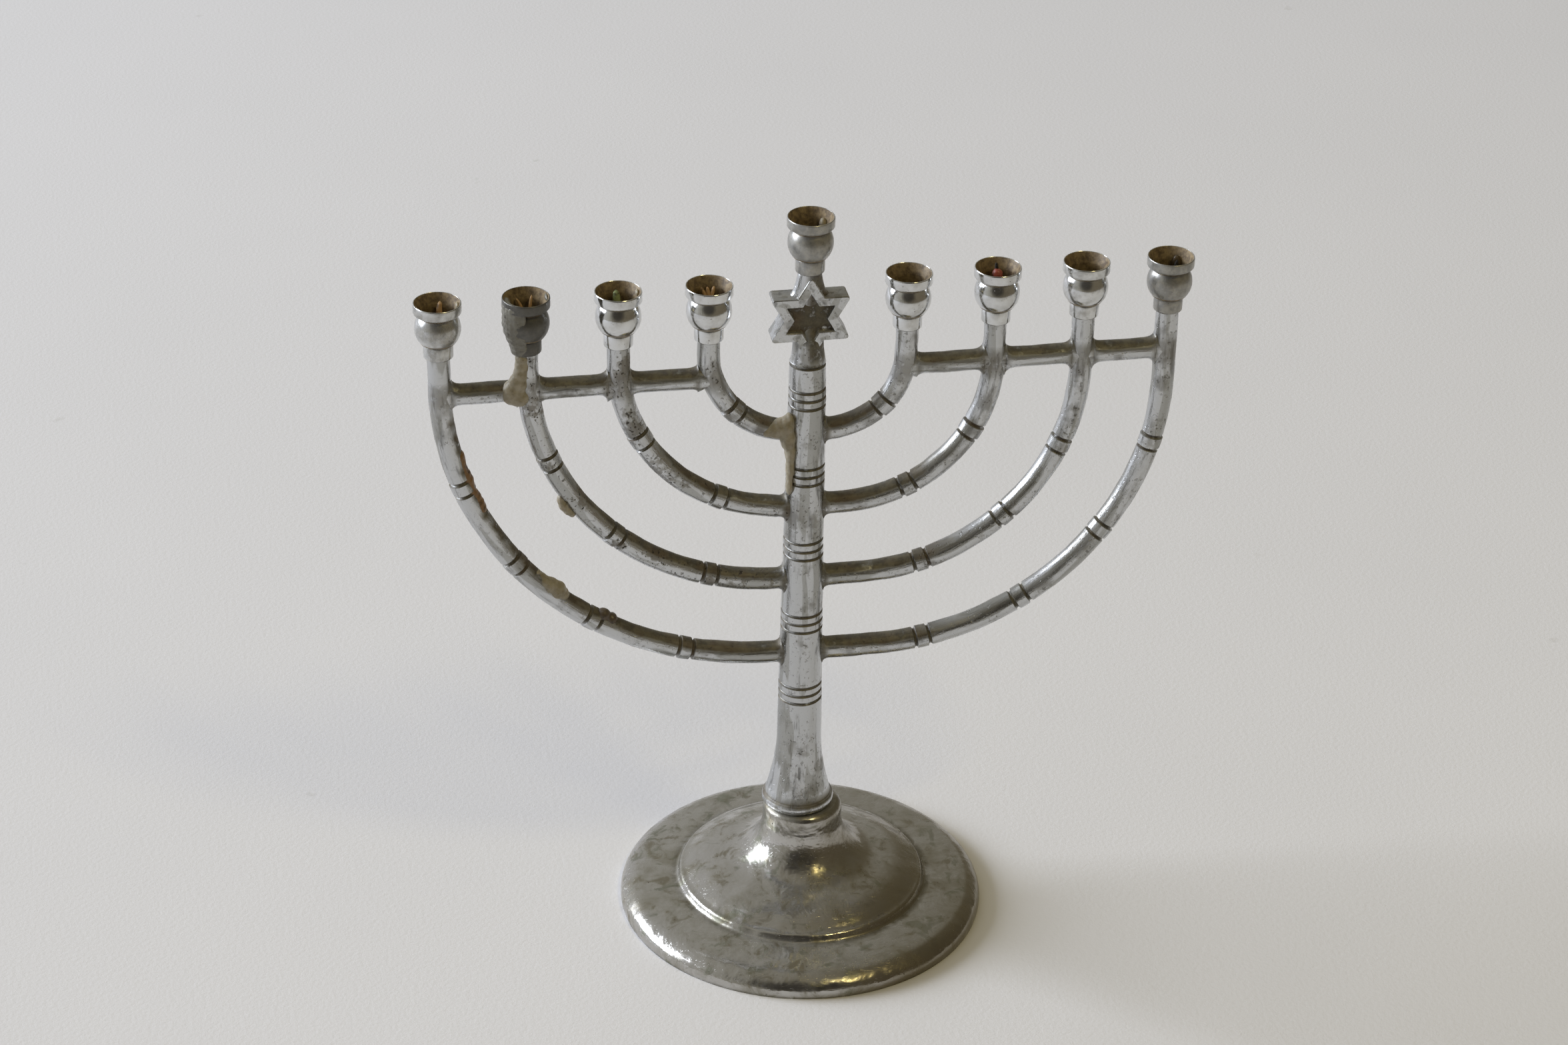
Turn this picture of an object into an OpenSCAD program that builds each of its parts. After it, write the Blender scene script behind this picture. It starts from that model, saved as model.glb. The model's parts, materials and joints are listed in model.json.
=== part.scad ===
// Nine-branch menorah: a cast candelabrum on a spun, hollow foot, with nine turned candle cups
// that screw into the ends of the branches. All sizes are millimetres. The origin lies on the
// stem's axis, on the surface that the foot stands on. X runs along the branches and +Z is up.

/* [Branches] */
// Distance from the stem's axis to the cup of an inner branch
inner_reach = 23.2; // [22.5:0.1:24]
// Distance from the stem's axis to the cup of a second branch
second_reach = 44.1; // [43:0.1:45]
// Distance from the stem's axis to the cup of a third branch
third_reach = 65.1; // [64:0.1:66]
// Distance from the stem's axis to the cup of an outer branch
outer_reach = 85.2; // [84:0.1:87]
// Height of an inner branch's centreline where it leaves the stem
inner_root_z = 131.6; // [130.5:0.1:132.5]
// Height of a second branch's centreline where it leaves the stem
second_root_z = 111.5; // [110.5:0.1:112.5]
// Height of a third branch's centreline where it leaves the stem
third_root_z = 91.8; // [90.5:0.1:92.5]
// Height of an outer branch's centreline where it leaves the stem
outer_root_z = 71.4; // [70.5:0.1:72.5]
// Height of the top of every side branch
branch_top = 156.9; // [156:0.1:160]
// Diameter of a branch
branch_d = 5.3; // [4.8:0.1:6]
// Straight run at each end of a left branch, as a share of its reach
left_straight = 0.08; // [0.06:0.01:0.22]
// Straight run at each end of a right branch, as a share of its reach
right_straight = 0.21; // [0.06:0.01:0.22]
// Height of the two crossbars' centreline
crossbar_z = 147; // [145:0.1:149]
// Diameter of a crossbar
crossbar_d = 5; // [4:0.1:5.1]

/* [Bands on the branches] */
// Width of a band, between the middles of its two grooves
band_w = 3.5; // [2.5:0.1:4.5]
// Width of a groove beside a band
band_groove_w = 0.7; // [0.4:0.1:1]
// Depth of a groove beside a band
band_groove_depth = 0.35; // [0.2:0.05:0.6]
// How far a band stands out of its branch
band_rise = 0.15; // [0.05:0.05:0.4]
// Angle of the middle of each branch's row of bands, up its bend, innermost branch first
band_middle = [46, 43, 42, 43]; // [40:1:48]
// Angle that the bands of each left branch share between them, innermost branch first
left_band_spread = [72, 72, 75, 72]; // [64:1:88]
// Angle that the bands of each right branch share between them, innermost branch first
right_band_spread = [72, 68, 76, 88]; // [64:1:88]

/* [Stem] */
// Radius of the bead at the stem's foot
stem_bead_r = 8.8; // [8.4:0.1:9.4]
// Radius of the stem above its flared foot
stem_low_r = 5.4; // [5:0.1:5.8]
// Radius of the stem just under its collar groove
stem_high_r = 4.25; // [4:0.05:4.6]
// Height at which the stem's flared foot ends
flare_top = 48; // [46:0.5:52]
// Radius of the hollow curve of the stem's flared foot
flare_r = 54; // [48:1:60]
// Height of the middle groove in the lowest group of three
ring_first_z = 60.9; // [60:0.1:61.5]
// Distance from one group of grooves to the next
ring_step = 20; // [19.6:0.1:20.1]
// Distance between two grooves in a group
ring_pitch = 2.15; // [1.8:0.05:2.4]
// Depth of a groove on the stem
ring_depth = 0.3; // [0.2:0.05:0.5]
// Height of the single groove under the star
collar_groove_z = 149.4; // [148:0.1:150.5]

/* [Star] */
// Height of the star's centre
star_z = 161.5; // [160.5:0.1:162.5]
// Distance from the star's centre to its points, before they are rounded
star_r = 10.9; // [10:0.1:11.6]
// How much of each point is rounded away
star_blunt = 0.6; // [0.3:0.1:1]
// Thickness of the star
star_t = 5.6; // [5:0.1:6.2]
// Distance from the recess's centre to its points
recess_r = 6.7; // [6:0.1:7.2]
// Depth of the recess in each face of the star
recess_depth = 1.1; // [0.6:0.1:1.4]
// Radius of the neck that carries the middle cup
neck_r = 2.7; // [2.5:0.05:3]
// Height of the top of that neck
neck_top = 172.7; // [172:0.1:175]

/* [Candle cups] */
// Height of a cup from the underside of its collar to its rim
cup_h = 13.8; // [13.4:0.1:14.5]
// Radius of a cup's rim band
rim_r = 5.5; // [5.4:0.05:5.8]
// Height of a cup's rim band
rim_h = 2.3; // [1.8:0.1:2.4]
// Radius of the ball under the rim band
ball_r = 5.3; // [5.2:0.05:5.4]
// Height of the ball's centre above the underside of the collar
ball_z = 7.4; // [7.2:0.1:7.6]
// Radius of the collar under the ball
collar_r = 3.4; // [3.2:0.05:3.7]
// Height of that collar
collar_h = 3.7; // [3.4:0.1:3.8]
// Radius of the straight seat that a candle stands in
seat_r = 4.1; // [3.9:0.05:4.15]
// Depth of that seat below its tapered mouth
seat_h = 6.2; // [5.5:0.1:6.4]
// Radius of the screwed stud under a cup
stud_r = 1.5; // [1.3:0.05:1.6]
// Length of that stud
stud_h = 5.6; // [4:0.1:6]
// Gap between a stud and the wall of its hole
stud_gap = 0.06; // [0.03:0.01:0.09]

/* [Foot] */
// Radius of the foot
foot_r = 44.7; // [44:0.1:46]
// Height of the foot
foot_h = 28.2; // [28:0.1:28.6]
// Radius of the rounded outer rim
foot_rim_r = 3.5; // [3:0.1:4]
// Radius of the raised step
step_r = 30.1; // [29.5:0.1:30.6]
// Thickness of the spun metal
foot_wall = 1.6; // [1.2:0.1:1.8]
// How far the foot sits off the stem's axis, towards +X
foot_shift = 1.25; // [0:0.05:1.3]
// Radius of the hole for the screw in the foot's neck
foot_hole_r = 3.9; // [3.8:0.05:3.9]

/* [Foot screw] */
// Radius of the screw's shank
screw_r = 2.4; // [2:0.1:2.5]
// Length of the screw's shank
screw_l = 17; // [12:1:20]
// Radius of the screw's head
head_r = 4.3; // [3.8:0.1:4.6]
// Height of the screw's head
head_h = 2.8; // [2.2:0.1:3.4]
// Radius of the washer under the head
washer_r = 5.3; // [5.2:0.05:5.3]
// Thickness of the washer
washer_t = 1.2; // [0.8:0.1:1.6]

/* [Hidden] */
$fn = 96;

branch_reach = [inner_reach, second_reach, third_reach, outer_reach];
branch_root = [inner_root_z, second_root_z, third_root_z, outer_root_z];
branches = len(branch_reach);
branch_r = branch_d / 2;
// Heights of the middle grooves of the five groups on the stem
ring_z = [for (k = [0:branches]) ring_first_z + k * ring_step];
// A little more than nothing, so that a cut runs past the face it opens
past = 0.5;
// Gap between the screw's shank and the wall of its hole in the stem
screw_gap = 0.05;
// Room left beyond the end of a screw or stud in its hole
end_room = 0.5;
stem_foot_z = foot_h;
// Bevel at the lower edge of a cup's collar
bevel = 0.5;
// Half the width of a groove on the stem
ring_half_w = 0.35;
// Radius of the round edge of the bead at the stem's foot
bead_edge_r = 1.6;
// Neck between a cup's ball and its rim band: its radius, and its height below the band
waist_r = 4.65;
waist_h = 0.6;
// Thickness of the metal at a cup's rim
lip = 0.25;
// How far above the waist a cup's tapered mouth meets its seat
mouth_rise = 0.5;
// How far the conical bottom of a cup's bore dips
bore_dip = 0.6;
// Angle up the foot's round rim at which its skirt begins
rim_end_a = 79;
// Width and depth of the screwdriver slot
slot_w = 1.1;
slot_depth = 1.2;
// Radial gap between the screw's shank and the washer
washer_gap = 0.15;

// Points along an arc in a profile, from angle a to angle b
function arc(cx, cz, r, a, b, steps = 8) =
    [for (i = [0:steps]) let (t = a + (b - a) * i / steps) [cx + r * cos(t), cz + r * sin(t)]];

// Points between two points on a shallow parabola, which bulges by sag to the left of the way
// from the first to the second
function bow(p, q, sag, steps = 8) =
    let (
        d = q - p,
        n = [-d[1], d[0]] / norm(d)
    )
    [for (i = [1:steps - 1]) let (t = i / steps) p + d * t + n * sag * 4 * t * (1 - t)];

// Radius of the stem's tapered shaft at a height
function shaft_r(z) =
    stem_low_r + (stem_high_r - stem_low_r) * (z - flare_top) / (collar_groove_z - flare_top);

// Three points that cut a shallow groove into the shaft's outline, listed downwards
function groove(z, r, depth) =
    [[r, z + ring_half_w], [r - depth, z], [r, z - ring_half_w]];

module profile_ring(points) {
    rotate_extrude() polygon(points);
}

// Outline of the stem, from the neck down to the bead on its foot
module stem() {
    collar_r_at = shaft_r(collar_groove_z);
    top_to_collar = [
        [0, neck_top],
        [neck_r, neck_top],
        [neck_r + 0.15, neck_top - 2],
        [neck_r + 0.6, neck_top - 3.4],
        [neck_r + 0.8, neck_top - 4.8],
        [neck_r + 0.3, neck_top - 6.5],
        [neck_r - 0.7, neck_top - 8.5],
        [neck_r - 0.7, star_z - 4],
        [3.1, star_z - 6],
        [3.3, star_z - 8],
        [3.7, star_z - 10],
        [collar_r_at - 0.1, star_z - 11.4]
    ];
    rings = [
        for (k = [len(ring_z) - 1:-1:0])
            for (j = [1:-1:-1])
                let (z = ring_z[k] + j * ring_pitch)
                for (p = groove(z, shaft_r(z), ring_depth)) p
    ];
    flare = [
        for (i = [0:12])
            let (z = flare_top - (flare_top - stem_foot_z - 3) * i / 12)
            [stem_low_r + flare_r - sqrt(pow(flare_r, 2) - pow(flare_top - z, 2)), z]
    ];
    bead = arc(stem_bead_r - bead_edge_r, stem_foot_z + bead_edge_r, bead_edge_r, 40, -60);
    profile_ring(concat(
        top_to_collar,
        groove(collar_groove_z, collar_r_at, ring_depth + 0.1),
        rings,
        flare,
        bead,
        [[stem_bead_r - bead_edge_r + 0.2, stem_foot_z], [0, stem_foot_z]]
    ));
}

// A bent stretch of a round bar, or of whatever outline is given, from angle a to b up the bend
module bend(bend_r, a, b) {
    rotate([90, 0, 0])
        rotate([0, 0, a - 90])
            rotate_extrude(angle = b - a)
                translate([bend_r, 0])
                    children();
}

// A tapped hole for a cup's stud, opening upwards at the origin
module stud_hole() {
    translate([0, 0, -stud_h - end_room])
        cylinder(r = stud_r + stud_gap, h = stud_h + end_room + past);
}

// One branch on the +X side: out of the stem, round the bend past its bands, and up to its cup
module branch(i, straight_share, spread) {
    straight = branch_reach[i] * straight_share;
    bend_r = branch_reach[i] - straight;
    bend_z = branch_root[i] + bend_r;
    count = i + 1;
    groove_a = band_groove_w / bend_r * 180 / PI;
    band_a = band_w / bend_r * 180 / PI;
    outer_half = (band_a + groove_a) / 2;
    inner_half = (band_a - groove_a) / 2;
    middles = [for (k = [0:count - 1]) band_middle[i] + (k - (count - 1) / 2) * spread[i] / count];
    translate([0, 0, branch_root[i]])
        rotate([0, 90, 0])
            cylinder(r = branch_r, h = straight);
    translate([straight, 0, bend_z]) {
        difference() {
            bend(bend_r, 0, 90) circle(r = branch_r);
            for (m = middles)
                bend(bend_r, m - outer_half, m + outer_half)
                    difference() {
                        circle(r = branch_r + 1);
                        circle(r = branch_r - band_groove_depth);
                    }
        }
        for (m = middles)
            bend(bend_r, m - inner_half, m + inner_half) circle(r = branch_r + band_rise);
    }
    translate([branch_reach[i], 0, bend_z])
        cylinder(r = branch_r, h = branch_top - bend_z);
}

// The same branch with the tapped hole in its end
module drilled_branch(i, straight_share, spread) {
    difference() {
        branch(i, straight_share, spread);
        translate([branch_reach[i], 0, branch_top]) stud_hole();
    }
}

module crossbar() {
    translate([branch_reach[0], 0, crossbar_z])
        rotate([0, 90, 0])
            cylinder(d = crossbar_d, h = branch_reach[branches - 1] - branch_reach[0]);
}

// Six-pointed outline of two crossed triangles
module hexagram(r) {
    rotate(90) circle(r = r, $fn = 3);
    rotate(-90) circle(r = r, $fn = 3);
}

module star_plate() {
    translate([0, star_t / 2, star_z])
        rotate([90, 0, 0])
            linear_extrude(star_t)
                intersection() {
                    hexagram(star_r);
                    circle(r = star_r - star_blunt);
                }
}

// The star-shaped recesses in the front and the back of the star
module star_recesses() {
    for (side = [-1, 1])
        translate([0, side * star_t / 2, star_z])
            rotate([90, 0, 0])
                linear_extrude(2 * recess_depth, center = true)
                    hexagram(recess_r);
}

// The stem with its star, drilled for the middle cup above and the foot's screw below
module stem_and_star() {
    difference() {
        union() {
            stem();
            star_plate();
        }
        star_recesses();
        translate([0, 0, neck_top]) stud_hole();
        translate([0, 0, stem_foot_z - past])
            cylinder(r = screw_r + screw_gap, h = past + screw_l - foot_wall - washer_t + end_room);
    }
}

// The one-piece casting: stem, star, eight branches and two crossbars
module candelabrum() {
    color("silver") {
        stem_and_star();
        for (i = [0:branches - 1]) {
            drilled_branch(i, right_straight, right_band_spread);
            mirror([1, 0, 0]) drilled_branch(i, left_straight, left_band_spread);
        }
        crossbar();
        mirror([1, 0, 0]) crossbar();
    }
}

// A turned cup: stud, collar, ball and rim band, bored out for a candle
module cup() {
    waist_z = cup_h - rim_h - waist_h;
    mouth_z = waist_z + mouth_rise;
    floor_z = mouth_z - seat_h - bore_dip;
    ball_from = 10 - acos(collar_r / ball_r);
    ball_to = asin((waist_z - ball_z) / ball_r) - 3;
    outline = concat(
        [
            [0, -stud_h],
            [stud_r - 0.3, -stud_h],
            [stud_r, -stud_h + 0.3],
            [stud_r, 0],
            [collar_r - bevel, 0],
            [collar_r, bevel],
            [collar_r, collar_h - bevel / 2],
            [collar_r - 0.15, collar_h]
        ],
        arc(0, ball_z, ball_r, ball_from, ball_to, 20),
        [
            [waist_r, waist_z],
            [waist_r, waist_z + waist_h / 2],
            [rim_r, waist_z + waist_h],
            [rim_r, cup_h - 0.1],
            [rim_r - 0.1, cup_h],
            [rim_r - lip, cup_h],
            [seat_r, mouth_z],
            [seat_r, mouth_z - seat_h],
            [seat_r * 0.55, floor_z],
            [0, floor_z]
        ]
    );
    color("gainsboro") profile_ring(outline);
}

// The middle cup, for the candle that lights the others
module shamash_cup() {
    translate([0, 0, neck_top]) cup();
}

// A side cup, numbered from 1 at the left-hand end to 8 at the right-hand end
module candle_cup(number) {
    left = number <= branches;
    x = left ? -branch_reach[branches - number] : branch_reach[number - branches - 1];
    translate([x, 0, branch_top]) cup();
}

// Outer outline of the foot, from the surface it stands on up to the top of its neck
function foot_outline() =
    let (
        rim_c = [foot_r - foot_rim_r, 1.1],
        rim_end = rim_c + foot_rim_r * [cos(rim_end_a), sin(rim_end_a)],
        skirt_in = [step_r + 1.1, 6.5],
        step_top = [step_r - 0.9, 8.3],
        dome_in = [19.2, 12.4],
        neck_low = [9.75, 22.4],
        neck_high = [9.68, 25.8],
        neck_lip = [8.3, foot_h]
    )
    concat(
        arc(rim_c[0], rim_c[1], foot_rim_r, -asin(rim_c[1] / foot_rim_r), rim_end_a, 14),
        bow(rim_end, skirt_in, -0.25),
        [skirt_in, [step_r + 0.5, 6.75], [step_r + 0.15, 7.2]],
        [[step_r, 7.7], [step_r - 0.35, 8.1]],
        [step_top],
        bow(step_top, dome_in, -0.5),
        [dome_in],
        bow(dome_in, neck_low, 2.2, 12),
        [neck_low, [9.66, 24]],
        [neck_high],
        bow(neck_high, neck_lip, -0.35, 4),
        [neck_lip]
    );

// The spun foot: a shell that is open underneath
module foot() {
    outline = foot_outline();
    color("darkgray")
        translate([foot_shift, 0, 0])
            difference() {
                rotate_extrude() polygon(concat([[0, 0]], outline, [[0, foot_h]]));
                translate([0, 0, -foot_wall])
                    rotate_extrude()
                        polygon(concat(
                            [[0, -past], [outline[0][0] - foot_wall, -past]],
                            [for (p = outline) [p[0] - foot_wall, p[1]]],
                            [[0, foot_h]]
                        ));
                cylinder(r = foot_hole_r, h = foot_h + past);
            }
}

// The slotted screw that pulls the stem down onto the foot
module foot_screw() {
    seat_z = foot_h - foot_wall - washer_t;
    color("dimgray")
        difference() {
            union() {
                translate([0, 0, seat_z]) cylinder(r = screw_r, h = screw_l);
                translate([0, 0, seat_z - head_h]) cylinder(r = head_r, h = head_h);
            }
            translate([0, 0, seat_z - head_h])
                cube([3 * head_r, slot_w, 2 * slot_depth], center = true);
        }
}

module foot_washer() {
    color("dimgray")
        translate([0, 0, foot_h - foot_wall - washer_t])
            difference() {
                cylinder(r = washer_r, h = washer_t);
                translate([0, 0, -past]) cylinder(r = screw_r + washer_gap, h = washer_t + 2 * past);
            }
}

candelabrum();
foot();
foot_screw();
foot_washer();
shamash_cup();
for (number = [1:2 * branches])
    candle_cup(number);
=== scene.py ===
"""Nine-branch menorah: a worn chrome casting on a spun foot, with nine turned candle cups.

Sizes in the tables below are millimetres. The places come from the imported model's own boxes.
"""
import json
from math import acos, asin, atan2, cos, degrees, hypot, pi, radians, sin, sqrt

import bpy
from mathutils import Matrix, Vector


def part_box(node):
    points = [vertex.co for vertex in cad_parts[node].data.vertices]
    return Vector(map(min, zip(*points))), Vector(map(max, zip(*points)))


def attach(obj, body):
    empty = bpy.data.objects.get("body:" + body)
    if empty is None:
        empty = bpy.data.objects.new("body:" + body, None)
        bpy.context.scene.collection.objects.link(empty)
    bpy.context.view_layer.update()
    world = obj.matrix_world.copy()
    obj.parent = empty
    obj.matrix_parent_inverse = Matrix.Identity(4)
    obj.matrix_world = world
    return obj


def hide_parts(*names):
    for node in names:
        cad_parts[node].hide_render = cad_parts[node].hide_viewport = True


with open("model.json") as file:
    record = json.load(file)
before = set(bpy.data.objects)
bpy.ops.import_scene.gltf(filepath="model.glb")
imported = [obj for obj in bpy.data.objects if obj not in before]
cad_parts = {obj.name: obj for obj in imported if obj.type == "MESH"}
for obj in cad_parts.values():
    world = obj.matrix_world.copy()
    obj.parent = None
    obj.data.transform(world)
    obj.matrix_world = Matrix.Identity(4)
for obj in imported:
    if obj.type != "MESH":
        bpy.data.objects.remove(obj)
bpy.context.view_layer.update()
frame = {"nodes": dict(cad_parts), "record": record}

MM = 0.001

# ---------------------------------------------------------------- places, from the model

FOOT_LOW, FOOT_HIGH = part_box("foot")
CUPS = ["candle_cup_%d" % number for number in range(1, 9)]


def mount_point(name):
    for mount in frame["record"]["mounts"]:
        if mount["name"] == name:
            return Vector(mount["pos_m"])


CUP_HEIGHT = 13.8
SIDE_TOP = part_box("candle_cup_1")[1].z / MM - CUP_HEIGHT
NECK_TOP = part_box("shamash_cup")[1].z / MM - CUP_HEIGHT
CUP_X = [mount_point(name + "_bore").x / MM for name in CUPS]
FOOT_X = (FOOT_LOW.x + FOOT_HIGH.x) / 2 / MM
FOOT_R = (FOOT_HIGH.y - FOOT_LOW.y) / 2 / MM
FOOT_TOP = FOOT_HIGH.z / MM

ARM_R = 2.65
ARM_ROOTS = [131.6, 111.5, 91.8, 71.4]
LEFT_RUN, RIGHT_RUN = 0.08, 0.21
BAR_Z, BAR_R = 147.0, 2.5
FILLET, BAR_FILLET = 1.5, 2.2
BAND_WIDTH, GROOVE_WIDTH, GROOVE_DEPTH, BAND_RISE = 3.5, 0.95, 0.48, 0.12
GROOVE_STATIONS = (-1.02, -0.7, -0.35, 0, 0.35, 0.7, 1.02)
BAND_MIDDLES = [46, 43, 42, 43]
LEFT_SPREADS, RIGHT_SPREADS = [72, 72, 75, 72], [72, 68, 76, 88]
STAR_Z, STAR_R, STAR_THICK = 161.5, 10.9, 5.6
STAR_BORDER, STAR_SUNK = 2.15, 1.1
RING_HEIGHTS = [60.9, 80.9, 100.9, 120.9, 140.9]
RING_PITCH = 2.15
COLLAR_GROOVE = 149.4
STUD_HOLE_R, STUD_HOLE_DEEP = 1.58, 6.1
ARM_WEAR = {-85: 0.12, -65: 1.0, -44: 0.8, -23: 0.6, 23: 0.25, 44: 0.3, 65: 0.4, 85: 0.3}
CRUST_START = 45
WALL = 1.6


# ---------------------------------------------------------------- bench tools


def fresh():
    """Leaves nothing selected, so that the next operator acts only on new work."""
    if bpy.context.object and bpy.context.object.mode != "OBJECT":
        bpy.ops.object.mode_set(mode="OBJECT")
    bpy.ops.object.select_all(action="DESELECT")


def extrude(x=0.0, y=0.0, z=0.0):
    bpy.ops.mesh.extrude_region_move(TRANSFORM_OT_translate={"value": (x * MM, y * MM, z * MM)})


def resize(factors, centre):
    bpy.ops.transform.resize(value=factors, center_override=[c * MM for c in centre])


def close_up(angle=40.0):
    """Merges meeting rings, fills open ends, turns faces outwards, applies the place and smooths."""
    bpy.ops.object.mode_set(mode="EDIT")
    bpy.ops.mesh.select_all(action="SELECT")
    bpy.ops.mesh.remove_doubles(threshold=0.002 * MM)
    bpy.ops.mesh.select_all(action="SELECT")
    bpy.ops.mesh.fill_holes(sides=0)
    bpy.ops.mesh.normals_make_consistent(inside=False)
    bpy.ops.object.mode_set(mode="OBJECT")
    bpy.ops.object.transform_apply(location=True, rotation=True, scale=True)
    bpy.ops.object.shade_smooth_by_angle(angle=radians(angle))
    return bpy.context.object


def turn(name, outline, centre=(0.0, 0.0, 0.0), sides=64):
    """Turns a piece on its axis: one ring is drawn up an outline of (radius, height) points.

    A third number in a point is the ring's radius from front to back, where it is oval.
    """
    fresh()
    x, y, z = centre
    radius, height = outline[0]
    deep = radius
    bpy.ops.mesh.primitive_circle_add(
        vertices=sides, radius=radius * MM, location=(x * MM, y * MM, (z + height) * MM)
    )
    bpy.ops.object.mode_set(mode="EDIT")
    for next_radius, next_height, *oval in outline[1:]:
        next_deep = oval[0] if oval else next_radius
        extrude(z=next_height - height)
        resize((next_radius / radius, next_deep / deep, 1), (x, y, z + next_height))
        radius, height, deep = next_radius, next_height, next_deep
    piece = close_up()
    piece.name = piece.data.name = name
    return piece


def merge(name, pieces):
    fresh()
    for piece in pieces:
        piece.select_set(True)
    bpy.context.view_layer.objects.active = pieces[0]
    bpy.ops.object.join()
    joined = bpy.context.object
    joined.name = joined.data.name = name
    return joined


def harden(piece, kind, **settings):
    """Adds a modifier, sets it and applies it."""
    fresh()
    piece.select_set(True)
    bpy.context.view_layer.objects.active = piece
    bpy.ops.object.modifier_add(type=kind)
    modifier = piece.modifiers[-1]
    for key, value in settings.items():
        setattr(modifier, key, value)
    bpy.ops.object.modifier_apply(modifier=modifier.name)


def mark(piece, name, values, kind="FLOAT"):
    """Stores one value, or one vector, for each vertex."""
    layer = piece.data.attributes.new(name, kind, "POINT")
    key = "value" if kind == "FLOAT" else "vector"
    for item, value in zip(layer.data, values):
        setattr(item, key, value)


def arc(cx, cz, r, start, end, steps=8):
    angles = [radians(start + (end - start) * k / steps) for k in range(steps + 1)]
    return [(cx + r * cos(a), cz + r * sin(a)) for a in angles]


def bow(p, q, sag, steps=8):
    """Points from p to q on a shallow curve, which bulges by sag to the left of the way."""
    dx, dz = q[0] - p[0], q[1] - p[1]
    length = hypot(dx, dz)
    points = []
    for k in range(steps + 1):
        t = k / steps
        rise = sag * 4 * t * (1 - t) / length
        points.append((p[0] + dx * t - dz * rise, p[1] + dz * t + dx * rise))
    return points


def ease(value, low, high):
    t = min(max((value - low) / (high - low), 0.0), 1.0)
    return t * t * (3 - 2 * t)


# ---------------------------------------------------------------- the casting


def shaft_radius(z):
    """Radius of the tapered shaft, before its grooves."""
    if z <= 48.0:
        return 5.4 + 54.0 - sqrt(54.0**2 - (48.0 - z) ** 2)
    return 5.4 + (4.25 - 5.4) * (z - 48.0) / (COLLAR_GROOVE - 48.0)


def groove(z, radius, depth, half=0.42):
    """A round-bottomed groove in an outline, listed upwards."""
    return [
        (radius, z - half),
        (radius - 0.6 * depth, z - 0.55 * half),
        (radius - depth, z - 0.1 * half),
        (radius - depth, z + 0.1 * half),
        (radius - 0.6 * depth, z + 0.55 * half),
        (radius, z + half),
    ]


def stem():
    outline = [(2.46, 41.3), (2.46, FOOT_TOP + 0.3), (2.8, FOOT_TOP), (7.3, FOOT_TOP)]
    outline += arc(7.2, 29.8, 1.6, -60, 40, 10)
    outline += [(8.1, 31.25), (shaft_radius(31.6), 31.6)]
    outline += [(shaft_radius(z), z) for z in range(33, 58)]
    for height in RING_HEIGHTS:
        base = outline[-1][1]
        gap = height - RING_PITCH - base
        steps = max(2, round(gap / 1.4))
        outline += [
            (shaft_radius(base + gap * k / steps), base + gap * k / steps) for k in range(1, steps)
        ]
        for place in (-1, 0, 1):
            z = height + place * RING_PITCH
            outline += groove(z, shaft_radius(z), 0.36)
            if place < 1:
                half = z + RING_PITCH / 2
                outline.append((shaft_radius(half) + 0.05, half))
    outline += [(shaft_radius(z), z) for z in (144.6, 146.0, 147.4, 148.6)]
    outline += groove(COLLAR_GROOVE, 4.25, 0.42)
    outline += [
        (4.12, STAR_Z - 11.4),
        (3.98, STAR_Z - 10.6),
        (3.86, STAR_Z - 9.6),
        (3.74, STAR_Z - 8.6, 3.7),
        (3.64, STAR_Z - 7.6, 3.55),
        (3.6, STAR_Z - 6.7, 3.35),
        (3.7, STAR_Z - 6.0, 3.15),
        (3.2, STAR_Z - 5.2, 2.8),
        (2.2, STAR_Z - 4.0, 2.35),
        (1.5, STAR_Z - 2.4, 1.6),
        (1.4, STAR_Z - 1.6, 1.4),
        (1.4, NECK_TOP - 9.0, 1.4),
        (3.4, NECK_TOP - 7.4, 2.0),
        (4.7, NECK_TOP - 6.3, 2.35),
        (4.35, NECK_TOP - 5.7, 2.45),
        (3.9, NECK_TOP - 5.1, 2.5),
        (3.5, NECK_TOP - 4.2, 2.55),
        (3.2, NECK_TOP - 3.2, 2.6),
        (2.98, NECK_TOP - 2.2, 2.62),
        (2.82, NECK_TOP - 1.2, 2.65),
        (2.7, NECK_TOP - 0.15),
        (2.55, NECK_TOP),
        (STUD_HOLE_R, NECK_TOP),
        (STUD_HOLE_R, NECK_TOP - STUD_HOLE_DEEP),
    ]
    piece = turn("stem", outline, sides=80)
    grain, soil, skin = [], [], []
    for vertex in piece.data.vertices:
        x, y, z = vertex.co / MM
        r = hypot(x, y)
        grain.append((x, y, z * 0.14))
        sunk = shaft_radius(max(z, 32.0)) - r if 50 < z < 150 else 0.0
        kept = 0.12 + 0.88 * ease(x + 0.8 * sin(z * 1.3), -3.2, -0.6)
        star_foot = ease(z, 150, 151.5) * ease(x, -1.6, 0.4) * ease(y, 0.5, -1.5) * 0.9
        soil.append(max(ease(sunk, 0.08, 0.3) * kept, ease(abs(z - 31.3), 0.6, 0.1), star_foot))
        hidden = r < 2.5 or z < FOOT_TOP + 0.2
        skin.append(0.0 if hidden or z > NECK_TOP - 0.3 else 1.0)
    mark(piece, "grain", grain, "FLOAT_VECTOR")
    mark(piece, "soil", soil)
    mark(piece, "skin", skin)
    mark(piece, "wear", [0.35] * len(soil))
    mark(piece, "grime", [1.0] * len(soil))
    return piece


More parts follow.
